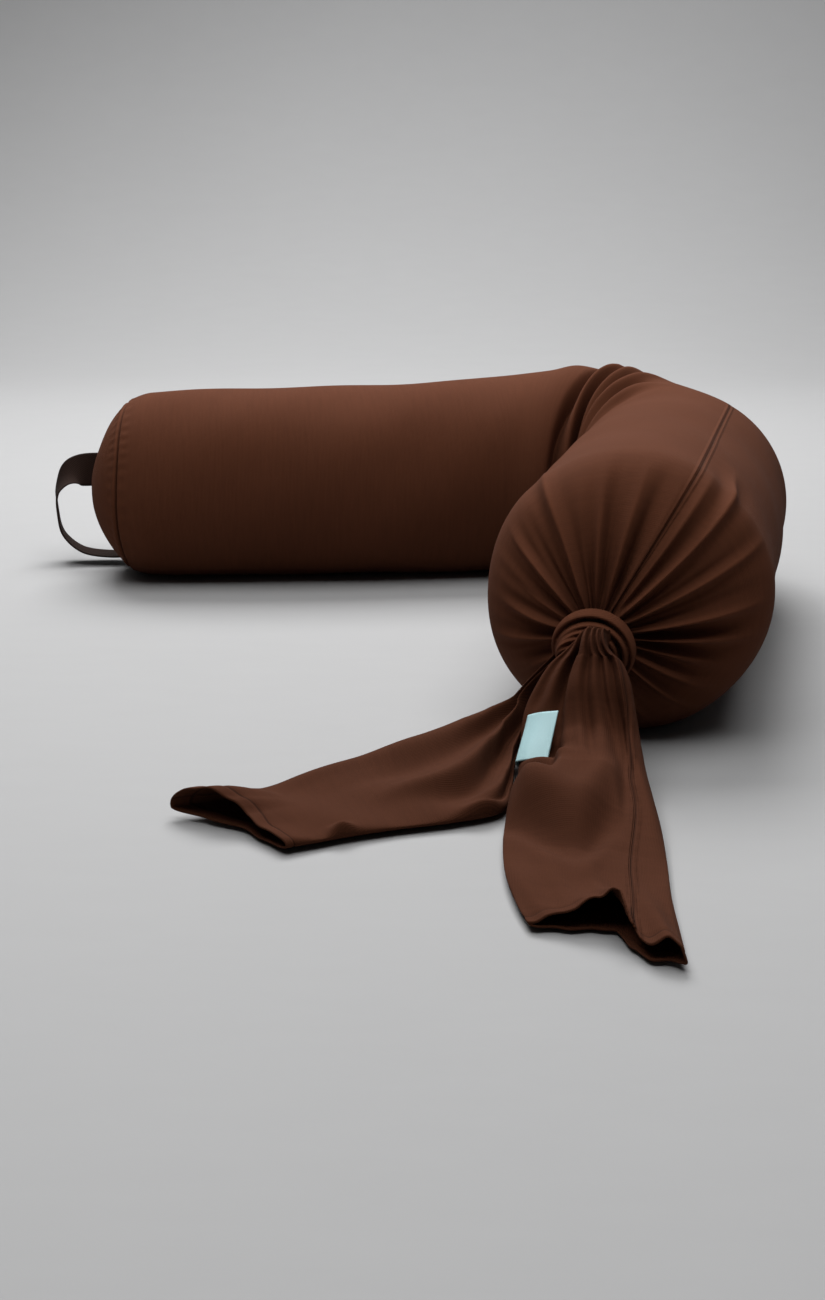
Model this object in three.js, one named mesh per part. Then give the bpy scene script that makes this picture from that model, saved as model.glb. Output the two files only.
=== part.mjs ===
// A full-length nursing pillow: a bead-filled bolster in a stretch jersey cover, lying on a
// floor and folded once into a hook. One end is closed by a round panel with a webbing
// carrying loop in its seam. At the other end the cover is gathered, tied in an overhand
// knot, and runs on as two hollow tie tails, one of which carries a folded label.
//
// Millimetres, +Z up. The origin is on the floor under the middle of the fold. +X points to
// the outer side of the fold, and the tied end points roughly along -Y.
import * as THREE from 'three';

// ---- driving dimensions -------------------------------------------------------------------

// Spine: the line through the middle of the pillow, measured from the middle of the fold.
const FOLD_RADIUS = 169; // of the spine, at the fold
const FOLD_TURN = radians(113); // how far the spine turns in the fold
const MIDDLE_HEADING = radians(-46.5); // way along the spine, at the middle of the fold
const CLOSED_ARM_LENGTH = 458; // from the fold to the tip of the closed end
const CLOSED_ARM_CURVE = 1 / 2150; // a slight turn to the left; the tied arm is straight
const TIED_ARM_LENGTH = 515; // from the fold to the gathered end

// Girth: the pillow is fuller towards the tied end, where the beads are pushed.
const CLOSED_RADIUS = 106;
const FOLD_GIRTH_RADIUS = 117;
const TIED_RADIUS = 122;
const AXIS_SHARE = 0.95; // height of the spine as a share of the radius, so the base is flat
const CLOSED_DOME = 72; // length of the rounded closed end
const SEAM_ANGLE = radians(65); // where the round panel's seam lies on that dome
const TIED_DOME = 85; // length of the rounded tied end

// Layers, from the outside in.
const COVER_THICKNESS = 2;
const LINER_THICKNESS = 1.2;
const LAYER_GAP = 0.4;
const JOIN_GAP = 0.4; // between two pieces that meet end to end

// Knot and neck.
const KNOT_SIDE = -16; // off the spine, to its left seen from above
const KNOT_HEIGHT = 95;
const KNOT_RING_RADIUS = 26;
const KNOT_STRAND_RADIUS = 13;
const KNOT_FLATNESS = 0.85; // its height as a share of its width
const KNOT_AHEAD = 24; // of the tied end's tip
const NECK_RADIUS = 9;
const NECK_ANGLE = radians(15); // where the dome turns into the neck
const NECK_LENGTH = 30;

// Ties, carrying loop and label.
const TAIL_WALL = 1.6;
const TAIL_RINGS = 19;
const STRAP_WIDTH = 40;
const STRAP_THICKNESS = 2.4;
const LABEL_LENGTH = 44; // along the line where it is sewn to the tail
const LABEL_REACH = 30; // out from that line
const LABEL_BULGE = 5; // half the thickness of the folded loop
const LABEL_THICKNESS = 1;

// Hinge lines of the fold, on the spine, either side of its middle.
const HINGE_AT = FOLD_RADIUS * radians(43);

const SIDES = 24; // of a pillow section
const TAIL_SIDES = 16; // of a tie tail's section

// ---- materials ----------------------------------------------------------------------------

const fabric = (colour, roughness = 0.9) =>
  new THREE.MeshStandardMaterial({ color: colour, roughness, metalness: 0 });
const jersey = fabric(0x5a3424);
const webbing = fabric(0x3d2318, 0.85);
const linerCloth = fabric(0xe9e6de);
const beads = fabric(0xf6f6f4, 0.7);
const labelTape = fabric(0xa9d3d6, 0.7);

// ---- the spine and its sections -----------------------------------------------------------

function radians(degrees) {
  return (degrees * Math.PI) / 180;
}

// The place reached by going a signed distance along an arc of that curvature (left is +).
function travel({ x, y, heading }, curvature, distance) {
  if (curvature === 0) {
    return { x: x + distance * Math.cos(heading), y: y + distance * Math.sin(heading), heading };
  }
  const turned = heading + curvature * distance;
  return {
    x: x + (Math.sin(turned) - Math.sin(heading)) / curvature,
    y: y + (Math.cos(heading) - Math.cos(turned)) / curvature,
    heading: turned,
  };
}

const FOLD_HALF = (FOLD_RADIUS * FOLD_TURN) / 2;
const CLOSED_TIP = -(FOLD_HALF + CLOSED_ARM_LENGTH);
const TIED_TIP = FOLD_HALF + TIED_ARM_LENGTH;

function spine(along) {
  const within = THREE.MathUtils.clamp(along, -FOLD_HALF, FOLD_HALF);
  const place = travel({ x: 0, y: 0, heading: MIDDLE_HEADING }, -1 / FOLD_RADIUS, within);
  if (within === along) return place;
  return travel(place, along < 0 ? CLOSED_ARM_CURVE : 0, along - within);
}

function girthRadius(along) {
  return along < 0
    ? THREE.MathUtils.mapLinear(along, CLOSED_TIP, 0, CLOSED_RADIUS, FOLD_GIRTH_RADIUS)
    : THREE.MathUtils.mapLinear(along, 0, TIED_TIP, FOLD_GIRTH_RADIUS, TIED_RADIUS);
}

// How much of its radius the pillow keeps on the fold's inner side. The two arms run on
// straight to a sharp corner there, deeper than the arc that their sections would make.
function innerShare(along) {
  const left = Math.max(0, FOLD_TURN / 2 - Math.abs(along) / FOLD_RADIUS);
  const radius = girthRadius(along);
  return 1 - ((FOLD_RADIUS - radius) * (1 / Math.cos(left) - 1)) / radius;
}

// A ring of points square to the spine: round, and flat where it would pass through the floor.
function section(along, radius, floor, { side = 0, height } = {}) {
  const { x, y, heading } = spine(along);
  const middle = height ?? girthRadius(along) * AXIS_SHARE;
  const inner = innerShare(along);
  return Array.from({ length: SIDES }, (_, i) => {
    const angle = (2 * Math.PI * i) / SIDES;
    const across = Math.cos(angle);
    const out = side + radius * across * (across < 0 ? inner : 1);
    return new THREE.Vector3(
      x - Math.sin(heading) * out,
      y + Math.cos(heading) * out,
      Math.max(floor, middle + radius * Math.sin(angle)),
    );
  });
}

// Sections along a stretch of the spine, all at the same stations for every layer.
const STATIONS = [-580, -500, -420, -340, -260, -200]
  .concat([-160, -127, -95, -63, -32, 0, 32, 63, 95, 127, 160])
  .concat([230, 310, 390, 470, 540]);

function stretch(from, to, inset) {
  return [from, ...STATIONS.filter((u) => u > from + 4 && u < to - 4), to].map((u) =>
    section(u, girthRadius(u) - inset, inset),
  );
}

function spread(from, to, count) {
  return Array.from({ length: count }, (_, i) => from + ((to - from) * i) / (count - 1));
}

// The rounded closed end, from one angle on the dome to another; 90 degrees is its widest.
function closedDome(fromAngle, toAngle, inset, count) {
  const base = CLOSED_TIP + CLOSED_DOME;
  const radius = girthRadius(base) - inset;
  return spread(fromAngle, toAngle, count).map((angle) =>
    section(base - (CLOSED_DOME - inset) * Math.cos(angle), radius * Math.sin(angle), inset, {
      height: girthRadius(base) * AXIS_SHARE,
    }),
  );
}

// The rounded tied end. Its sections slide over to the knot as they get smaller.
function tiedDome(fromAngle, toAngle, inset, count) {
  const base = TIED_TIP - TIED_DOME;
  const radius = girthRadius(base) - inset;
  return spread(fromAngle, toAngle, count).map((angle) =>
    gathered(base + (TIED_DOME - inset) * Math.cos(angle), radius * Math.sin(angle), inset, base),
  );
}

function gathered(along, radius, inset, base = TIED_TIP - TIED_DOME) {
  const share = 1 - radius / (girthRadius(base) - inset);
  return section(along, radius, inset, {
    side: KNOT_SIDE * share,
    height: THREE.MathUtils.lerp(girthRadius(base) * AXIS_SHARE, KNOT_HEIGHT, share),
  });
}

// ---- solids -------------------------------------------------------------------------------

// A closed mesh through rings of equal counts. The two end rings are capped, or joined to
// each other if the rings come back round to where they began, as a tube wall's do.
function loft(rings, { loop = false } = {}) {
  const sides = rings[0].length;
  const points = rings.flat();
  const centres = rings.map((ring) => centre(ring));
  const faces = [];
  const last = loop ? rings.length : rings.length - 1;
  for (let r = 0; r < last; r++) {
    const across = ((r + 1) % rings.length) * sides;
    for (let i = 0; i < sides; i++) {
      const next = (i + 1) % sides;
      const [a, b, c, d] = [r * sides + i, r * sides + next, across + next, across + i];
      const ridge = bulges(points[a], points[b], points[c], points[d], centres[r]);
      faces.push(...(ridge ? [a, b, c, a, c, d] : [a, b, d, b, c, d]));
    }
  }
  if (!loop) {
    [0, rings.length - 1].forEach((r) => {
      const hub = points.length;
      points.push(centres[r]);
      for (let i = 0; i < sides; i++) {
        const edge = [r * sides + i, r * sides + ((i + 1) % sides)];
        faces.push(hub, ...(r === 0 ? edge.reverse() : edge));
      }
    });
  }
  return outwards(points, faces);
}

function centre(ring) {
  return ring.reduce((sum, p) => sum.add(p), new THREE.Vector3()).divideScalar(ring.length);
}

// Whether a four-sided patch a, b, c, d stands out from the middle when split from a to c.
// Layers that lie inside each other are split alike this way, so they stay clear.
function bulges(a, b, c, d, middle) {
  const [ab, ad, ac] = [b, d, c].map((p) => p.clone().sub(a));
  const normal = ab.cross(ad);
  return normal.dot(ac) * normal.dot(a.clone().sub(middle)) > 0;
}

// Turns the faces round if they point inwards.
function outwards(points, faces) {
  let volume = 0;
  for (let i = 0; i < faces.length; i += 3) {
    const [a, b, c] = [0, 1, 2].map((k) => points[faces[i + k]]);
    volume += a.dot(new THREE.Vector3().crossVectors(b, c));
  }
  const geometry = new THREE.BufferGeometry().setFromPoints(points);
  geometry.setIndex(volume < 0 ? faces.reverse() : faces);
  geometry.computeVertexNormals();
  return geometry;
}

// The wall between an outer and an inner run of rings, open at both ends.
const wall = (outer, inner) => loft([...outer, ...inner.reverse()], { loop: true });

// A dish: the same, closed over at the tip, where both runs begin.
const dish = (outer, inner) => loft([...outer, ...inner.reverse()]);

const pillow = new THREE.Group();

function piece(name, geometry, material) {
  const mesh = new THREE.Mesh(geometry, material);
  mesh.name = name;
  pillow.add(mesh);
  return mesh;
}

// ---- cover, liner and fill ----------------------------------------------------------------

const TIP_ANGLE = radians(8); // the first ring of a closed dome, beside its pole
const FULL = radians(90);
const closedBase = CLOSED_TIP + CLOSED_DOME;
const tiedBase = TIED_TIP - TIED_DOME;
const half = JOIN_GAP / 2;

function makeCover() {
  const [outside, inside] = [0, COVER_THICKNESS];
  const seamGap = JOIN_GAP / CLOSED_DOME;
  const cap = (inset) => closedDome(TIP_ANGLE, SEAM_ANGLE - seamGap, inset, 6);
  piece('cover_end_panel', dish(cap(outside), cap(inside)), jersey);

  const closedArm = (inset) => [
    ...closedDome(SEAM_ANGLE, FULL, inset, 3).slice(0, -1),
    ...stretch(closedBase, -HINGE_AT - half, inset),
  ];
  piece('cover_closed_arm', wall(closedArm(outside), closedArm(inside)), jersey);

  const fold = (inset) => stretch(-HINGE_AT + half, HINGE_AT - half, inset);
  piece('cover_fold', wall(fold(outside), fold(inside)), jersey);

  const tiedArm = (inset) => stretch(HINGE_AT + half, tiedBase - half, inset);
  piece('cover_tied_arm', wall(tiedArm(outside), tiedArm(inside)), jersey);

  const gatheredEnd = (inset) => [
    section(tiedBase + half, girthRadius(tiedBase) - inset, inset),
    ...tiedDome(radians(80), NECK_ANGLE, inset, 5),
    gathered(TIED_TIP + 8, NECK_RADIUS - inset, inset),
    gathered(TIED_TIP + NECK_LENGTH, NECK_RADIUS - inset, inset),
  ];
  piece('cover_gathered_end', wall(gatheredEnd(outside), gatheredEnd(inside)), jersey);
}

function makeLiner() {
  const outside = COVER_THICKNESS + LAYER_GAP;
  const inside = outside + LINER_THICKNESS;

  const closedArm = (inset) => [
    ...closedDome(TIP_ANGLE, SEAM_ANGLE, inset, 6),
    ...closedDome(SEAM_ANGLE, FULL, inset, 3).slice(1, -1),
    ...stretch(closedBase, -HINGE_AT - half, inset),
  ];
  piece('liner_closed_arm', dish(closedArm(outside), closedArm(inside)), linerCloth);

  const fold = (inset) => stretch(-HINGE_AT + half, HINGE_AT - half, inset);
  piece('liner_fold', wall(fold(outside), fold(inside)), linerCloth);

  const tiedArm = (inset) => [
    ...tiedDome(TIP_ANGLE, NECK_ANGLE, inset, 2).slice(0, -1),
    ...tiedDome(NECK_ANGLE, radians(80), inset, 5),
    ...stretch(HINGE_AT + half, tiedBase, inset).reverse(),
  ];
  piece('liner_tied_arm', dish(tiedArm(outside), tiedArm(inside)), linerCloth);
}

function makeFill() {
  const inset = COVER_THICKNESS + LINER_THICKNESS + 2 * LAYER_GAP;
  piece(
    'bead_fill_closed_arm',
    loft([
      ...closedDome(TIP_ANGLE, SEAM_ANGLE, inset, 6),
      ...closedDome(SEAM_ANGLE, FULL, inset, 3).slice(1, -1),
      ...stretch(closedBase, -HINGE_AT - half, inset),
    ]),
    beads,
  );
  piece('bead_fill_fold', loft(stretch(-HINGE_AT + half, HINGE_AT - half, inset)), beads);
  piece(
    'bead_fill_tied_arm',
    loft([
      ...stretch(HINGE_AT + half, tiedBase, inset),
      ...tiedDome(radians(80), NECK_ANGLE, inset, 5),
      ...tiedDome(NECK_ANGLE, TIP_ANGLE, inset, 2).slice(1),
    ]),
    beads,
  );
}

// ---- knot ---------------------------------------------------------------------------------

// A point near the knot: ahead along the spine's last heading, to its left, and up.
function byKnot(ahead, left, height) {
  const { x, y, heading } = spine(TIED_TIP);
  const [c, s] = [Math.cos(heading), Math.sin(heading)];
  return new THREE.Vector3(x + c * ahead - s * left, y + s * ahead + c * left, height);
}

function makeKnot() {
  const turn = new THREE.TorusGeometry(KNOT_RING_RADIUS, KNOT_STRAND_RADIUS, 12, 24);
  turn.scale(1, KNOT_FLATNESS, 1);
  const knot = piece('knot_turn', turn, jersey);
  const { x, y, heading } = spine(TIED_TIP + KNOT_AHEAD);
  const left = new THREE.Vector3(-Math.sin(heading), Math.cos(heading), 0);
  knot.position.set(x, y, KNOT_HEIGHT).addScaledVector(left, KNOT_SIDE);
  knot.quaternion.setFromAxisAngle(new THREE.Vector3(0, 0, 1), heading + FULL);
  knot.quaternion.multiply(
    new THREE.Quaternion().setFromAxisAngle(new THREE.Vector3(1, 0, 0), FULL),
  );
}

// ---- tie tails ----------------------------------------------------------------------------

// A flattened ring. Nothing in it is lower than the floor.
function ellipse(middle, across, up, wide, tall, sides, floor = -Infinity) {
  return Array.from({ length: sides }, (_, i) => {
    const angle = (2 * Math.PI * i) / sides;
    const point = middle
      .clone()
      .addScaledVector(across, wide * Math.cos(angle))
      .addScaledVector(up, tall * Math.sin(angle));
    point.z = Math.max(point.z, floor);
    return point;
  });
}

// Straight steps between (share, value) pairs.
function profile(pairs) {
  return (share) => {
    const next = Math.max(1, pairs.findIndex(([at]) => at >= share));
    const [[a, va], [b, vb]] = [pairs[next - 1], pairs[next]];
    return THREE.MathUtils.mapLinear(share, a, b, va, vb);
  };
}

// A hollow tie tail, open at its tip, between two edges that are given by the knot.
function makeTail(name, edges, thickness) {
  const [right, left] = [0, 1].map(
    (k) => new THREE.CatmullRomCurve3(edges.map((pair) => byKnot(...pair[k])), false, 'centripetal'),
  );
  const thicknessAt = profile(thickness);
  const ring = (share, inset) => {
    const [a, b] = [left.getPoint(share), right.getPoint(share)];
    const across = a.clone().sub(b).normalize();
    const along = left.getTangent(share).add(right.getTangent(share));
    const up = new THREE.Vector3().crossVectors(along, across).normalize();
    const [wide, tall] = [a.distanceTo(b) / 2 - inset, thicknessAt(share) / 2 - inset];
    return ellipse(a.lerp(b, 0.5), across, up, wide, tall, TAIL_SIDES, inset);
  };
  const rings = (inset) => spread(0, 1, TAIL_RINGS).map((share) => ring(share, inset));
  piece(name, wall(rings(0), rings(TAIL_WALL)), jersey);
}

function makeTails() {
  makeTail(
    'tie_tail_front',
    [
      [[44, -27, 83], [44, 9, 85]],
      [[53, -56, 66], [55, 19, 75]],
      [[64, -63, 47], [72, 26, 54]],
      [[88, -62, 23], [92, 32, 38]],
      [[118, -58, 8], [125, 40, 26]],
      [[155, -56, 6], [160, 49, 17]],
      [[200, -53, 6], [208, 60, 10]],
      [[240, -48, 6], [262, 69, 7]],
      [[298, -36, 6], [318, 77, 6]],
      [[344, -21, 6], [370, 87, 6]],
      [[382, -5, 6], [418, 96, 6]],
    ],
    [[0, 15], [0.1, 17], [0.3, 14], [1, 13]],
  );
  makeTail(
    'tie_tail_side',
    [
      [[16, -60, 64], [28, -48, 52]],
      [[20, -76, 44], [48, -60, 26]],
      [[36, -98, 36], [90, -65, 12]],
      [[60, -117, 33], [138, -65, 6]],
      [[80, -134, 29], [180, -67, 6]],
      [[100, -156, 24], [205, -91, 6]],
      [[130, -189, 17], [231, -125, 6]],
      [[165, -219, 13], [251, -153, 6]],
      [[197, -249, 11], [268, -173, 6]],
      [[232, -298, 9], [285, -193, 6]],
    ],
    [[0, 13], [0.2, 16], [0.5, 15], [1, 14]],
  );
}

// ---- carrying loop ------------------------------------------------------------------------

// The loop leaves the closed end's seam on the far side, with its face upright, turns over as
// it comes down, and goes back to the seam near the floor, with its face level.
function makeCarryingLoop() {
  const tip = spine(CLOSED_TIP);
  const at = (out, back, height) => new THREE.Vector3(tip.x - out, tip.y + back, height);
  const curve = new THREE.CatmullRomCurve3(
    [
      at(-36, 96, 105),
      at(6, 86, 107),
      at(42, 77, 104),
      at(58, 68, 84),
      at(58, 59, 58),
      at(50, 51, 34),
      at(28, 46, 16),
      at(-6, 46, 10),
      at(-36, 48, 9),
    ],
    false,
    'centripetal',
  );
  const upright = new THREE.Vector3(0, 0, 1);
  const level = new THREE.Vector3(-0.18, 0.98, 0);
  const rings = spread(0, 1, 23).map((share) => {
    const along = curve.getTangent(share);
    const across = upright.clone().lerp(level, THREE.MathUtils.smoothstep(share, 0.12, 0.52));
    across.addScaledVector(along, -across.dot(along)).normalize();
    const up = new THREE.Vector3().crossVectors(along, across);
    const [wide, tall] = [STRAP_WIDTH * 0.54, STRAP_THICKNESS * 0.6];
    return ellipse(curve.getPoint(share), across, up, wide, tall, 8);
  });
  piece('carrying_loop', loft(rings), webbing);
}

// ---- label --------------------------------------------------------------------------------

// A strip folded into a loop, with both ends sewn down on the front tail.
function makeLabel() {
  const outline = new THREE.Shape();
  const [bulge, inner] = [LABEL_BULGE, LABEL_BULGE - LABEL_THICKNESS];
  outline.moveTo(0, bulge);
  outline.lineTo(LABEL_REACH - bulge, bulge);
  outline.absarc(LABEL_REACH - bulge, 0, bulge, FULL, -FULL, true);
  outline.lineTo(0, -bulge);
  outline.lineTo(0, -inner);
  outline.lineTo(LABEL_REACH - bulge, -inner);
  outline.absarc(LABEL_REACH - bulge, 0, inner, -FULL, FULL, false);
  outline.lineTo(0, inner);
  outline.closePath();
  const geometry = new THREE.ExtrudeGeometry(outline, {
    depth: LABEL_LENGTH,
    bevelEnabled: false,
    curveSegments: 8,
  });
  const label = piece('care_label', geometry, labelTape);
  const top = byKnot(81, -30, 52);
  const along = byKnot(112, -33, 22).sub(top).normalize();
  const out = byKnot(90, -53, 30).sub(top);
  out.addScaledVector(along, -out.dot(along)).normalize();
  const up = new THREE.Vector3().crossVectors(along, out);
  label.quaternion.setFromRotationMatrix(new THREE.Matrix4().makeBasis(out, up, along));
  label.position.copy(top).addScaledVector(up, -(LABEL_BULGE + 3.5));
}

makeCover();
makeLiner();
makeFill();
makeKnot();
makeTails();
makeCarryingLoop();
makeLabel();

export default pillow;
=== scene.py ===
"""A full-length nursing pillow, dressed in its cloth, seams, pleats, knot and ties."""

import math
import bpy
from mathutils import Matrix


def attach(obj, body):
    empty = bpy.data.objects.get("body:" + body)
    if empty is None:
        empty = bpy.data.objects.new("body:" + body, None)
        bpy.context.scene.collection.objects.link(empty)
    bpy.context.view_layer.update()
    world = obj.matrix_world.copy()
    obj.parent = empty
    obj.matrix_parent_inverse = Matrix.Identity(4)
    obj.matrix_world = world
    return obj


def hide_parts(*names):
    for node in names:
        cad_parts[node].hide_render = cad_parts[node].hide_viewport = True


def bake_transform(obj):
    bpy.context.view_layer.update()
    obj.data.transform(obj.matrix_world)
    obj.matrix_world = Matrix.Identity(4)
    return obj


bl_info = {
    "name": "Nursing Pillow",
    "version": (1, 0, 0),
    "blender": (4, 5, 0),
    "location": "View3D > Sidebar > Pillow",
    "description": "Builds a bead-filled nursing pillow with a knotted jersey cover",
    "category": "Object",
}

import bpy
import numpy as np
from bpy.props import FloatProperty, FloatVectorProperty, PointerProperty
from mathutils import Vector

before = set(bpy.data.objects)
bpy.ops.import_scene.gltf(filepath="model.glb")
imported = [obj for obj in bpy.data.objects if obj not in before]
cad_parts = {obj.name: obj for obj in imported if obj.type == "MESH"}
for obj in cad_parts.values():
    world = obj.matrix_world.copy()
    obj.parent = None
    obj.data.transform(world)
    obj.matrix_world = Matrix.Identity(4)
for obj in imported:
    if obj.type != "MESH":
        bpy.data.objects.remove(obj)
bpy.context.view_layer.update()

TAU = 2 * math.pi
UP = np.array([0.0, 0.0, 1.0])
FOLD_RADIUS = 0.169


# ---- settings -----------------------------------------------------------------------------


def length(name, default, description):
    return FloatProperty(name=name, description=description, default=default, unit="LENGTH")


def degrees(name, default, description):
    return FloatProperty(
        name=name, description=description, default=math.radians(default), subtype="ANGLE"
    )


def colour(name, default, description):
    return FloatVectorProperty(
        name=name, description=description, default=default, subtype="COLOR", size=3
    )


class PillowShape(bpy.types.PropertyGroup):
    """Sizes of the cushion, which repeat those of the part."""

    fold_radius: length(
        "Fold radius", FOLD_RADIUS, "Radius of the line through the cushion's middle, at the fold"
    )
    fold_turn: degrees("Fold turn", 113, "How far the cushion turns in the fold")
    middle_heading: degrees(
        "Middle heading", -46.5, "Way along the cushion at the middle of the fold"
    )
    closed_arm: length("Closed arm", 0.458, "Length from the fold to the tip of the closed end")
    closed_curve: FloatProperty(
        name="Closed arm curve",
        description="Curvature of the closed arm, in turns of a radian a metre",
        default=1 / 2.15,
    )
    tied_arm: length("Tied arm", 0.515, "Length from the fold to the gathered end")
    closed_girth: length(
        "Closed end radius", 0.106, "Radius of the cushion at its closed end"
    )
    fold_girth: length("Fold girth radius", 0.117, "Radius of the cushion at the fold")
    tied_girth: length("Tied end radius", 0.122, "Radius of the cushion at its tied end")


class PillowCloth(bpy.types.PropertyGroup):
    """Colours, knit ribs and pleat depth of the cloths."""

    jersey: colour("Jersey", (0.088, 0.0300, 0.0150), "Colour of the cover")
    webbing: colour("Webbing", (0.018, 0.0085, 0.0058), "Colour of the carrying loop")
    label: colour("Label", (0.40, 0.63, 0.66), "Colour of the folded label")
    rib: length("Knit rib", 0.0011, "Spacing of the ribs of the knit")
    pleat_depth: length("Pleat depth", 0.0070, "Depth of the pleats at the gathered end")


class PillowStudio(bpy.types.PropertyGroup):
    """Camera and light."""

    focal: FloatProperty(
        name="Focal length",
        description="Focal length of the camera, in millimetres",
        default=50.0,
    )
    camera_height: length("Camera height", 0.467, "Height of the camera over the floor")
    camera_pitch: degrees("Camera pitch", 15.13, "How far the camera looks down")
    key: FloatProperty(
        name="Key light",
        description="Power of the large soft light behind the pillow",
        default=122.0,
        unit="POWER",
    )
    fill: FloatProperty(
        name="Fill",
        description="Strength of the light from all round",
        default=0.04,
    )


def shape():
    return bpy.context.scene.pillow_shape


def cloth():
    return bpy.context.scene.pillow_cloth


def studio():
    return bpy.context.scene.pillow_studio


# ---- shader maths -------------------------------------------------------------------------


class Socket:
    """A shader socket. Sums and products of it add Math nodes."""

    def __init__(self, shader, link):
        self.shader, self.link = shader, link

    def _math(self, operation, *values):
        return self.shader.node("ShaderNodeMath", {"operation": operation}, *values)[0]

    def __add__(self, other):
        return self._math("ADD", self, other)

    def __sub__(self, other):
        return self._math("SUBTRACT", self, other)

    def __rsub__(self, other):
        return self._math("SUBTRACT", other, self)

    def __mul__(self, other):
        return self._math("MULTIPLY", self, other)

    def sin(self):
        return self._math("SINE", self)

    def abs(self):
        return self._math("ABSOLUTE", self)

    def between(self, low, high):
        """0 at low and 1 at high, with a smooth step."""
        found = self.shader.node(
            "ShaderNodeMapRange",
            {"interpolation_type": "SMOOTHSTEP"},
            Value=self,
            From_Min=low,
            From_Max=high,
        )
        return found[0]

    __radd__ = __add__
    __rmul__ = __mul__


class Shader:
    """A material's nodes, made one call at a time."""

    def __init__(self, name):
        self.material = bpy.data.materials.new(name)
        self.material.use_nodes = True
        self.tree = self.material.node_tree
        self.surface = self.tree.nodes["Principled BSDF"]

    def node(self, kind, settings=None, *values, **named):
        """Adds a node: its settings first, then its sockets' values or links."""
        made = self.tree.nodes.new(kind)
        for key, value in (settings or {}).items():
            setattr(made, key, value)
        chosen = dict(enumerate(values))
        chosen.update({key.replace("_", " "): value for key, value in named.items()})
        for key, value in chosen.items():
            self.feed(made.inputs[key], value)
        return [Socket(self, output) for output in made.outputs]

    def feed(self, socket, value):
        if isinstance(value, Socket):
            self.tree.links.new(value.link, socket)
        else:
            socket.default_value = value

    def cloth_place(self):
        """Metres along the cloth, metres around it, and both as a vector."""
        vector = self.node("ShaderNodeAttribute", {"attribute_name": "cloth"})[1]
        parts = self.node("ShaderNodeSeparateXYZ", None, vector)
        return parts[0], parts[1], vector

    def mark(self, name):
        return self.node("ShaderNodeAttribute", {"attribute_name": name})[2]

    def noise(self, vector, scale, detail=2.0, stretch=(1, 1, 1)):
        moved = self.node(
            "ShaderNodeVectorMath", {"operation": "MULTIPLY"}, vector, tuple(stretch)
        )
        made = self.node(
            "ShaderNodeTexNoise", None, Vector=moved[0], Scale=scale, Detail=detail
        )
        return made[0]

    def blend(self, share, first, second):
        """A colour between two others."""
        mixed = self.node("ShaderNodeMix", {"data_type": "RGBA"})
        mix = mixed[2].link.node
        for index, value in ((0, share), (6, first), (7, second)):
            self.feed(mix.inputs[index], value)
        return mixed[2]

    def bump(self, height, distance, strength=1.0, under=None):
        values = {"Height": height, "Distance": distance, "Strength": strength}
        if under is not None:
            values["Normal"] = under
        return self.node("ShaderNodeBump", None, **values)[0]

    def finish(self, colour, roughness, normal=None, **fixed):
        """Feeds the surface. Fixed values go straight on their sockets."""
        self.feed(self.surface.inputs["Base Color"], colour)
        self.feed(self.surface.inputs["Roughness"], roughness)
        if normal is not None:
            self.feed(self.surface.inputs["Normal"], normal)
        for key, value in fixed.items():
            self.surface.inputs[key.replace("_", " ")].default_value = value
        return self.material


def shade(colour, factor):
    return (*(min(1.0, c * factor) for c in colour), 1.0)


def jersey_material(name, seam_at=None, tone=1.0):
    """Stretch jersey: fine ribs along the cloth, slubs across it, a seam with painted shade in its
    groove, painted highlights on the crests, a painted dark line on the round seam and hems, and a
    tone below 1 that paints the whole cloth darker as painted shade.
    """
    made = Shader(name)
    # A tone below 1 paints the whole cloth darker: painted shade.
    colour = [c * tone for c in cloth().jersey]
    along, around, place = made.cloth_place()
    ribs = (around * (TAU / cloth().rib)).sin()
    rows = (along * (TAU / (cloth().rib * 1.3)) + ribs * 0.8).sin()
    slub = made.noise(place, 1.0, 3.0, (260.0, 24.0, 1.0))
    patch = made.noise(place, 9.0, 3.0)
    fuzz = made.noise(place, 1400.0, 1.0)
    mottle = (slub - 0.5) * 0.55 + (patch - 0.5) * 0.5 + (fuzz - 0.5) * 0.25 + 0.5
    base = made.blend(mottle, shade(colour, 0.80), shade(colour, 1.22))
    # Painted highlight: the crests of the pleats are painted lighter, where light catches them.
    crest_highlight = made.mark("crest").between(0.35, 1.0)
    base = made.blend(crest_highlight * 0.35, base, shade(colour, 1.45))
    height = ribs * 0.5 + rows * 0.35 + (slub - 0.5) * 1.2
    normal = made.bump(height, 0.00022, 0.55)
    if seam_at is not None:
        off = (around - seam_at).abs()
        stitch = (along * 400.0).sin().between(-0.4, 0.4)
        groove = 1 - off.between(0.0002, 0.0010)
        lip = off.between(0.0012, 0.0024) * (1 - off.between(0.0024, 0.0052))
        normal = made.bump(lip * (0.75 + stitch * 0.25) - groove, 0.0011, 0.9, normal)
        # Painted shade: the seam's groove is painted darker.
        base = made.blend(groove * 0.5, base, shade(colour, 0.40))
    # Painted shade: the round seam and the hem lines are painted dark, for the shade in their
    # grooves.
    ring = made.mark("seam").between(0.25, 0.9)
    base = made.blend(ring * 0.75, base, shade(colour, 0.25))
    return made.finish(base, 0.94 + (fuzz - 0.5) * 0.1, normal, Specular_IOR_Level=0.06)


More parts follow.
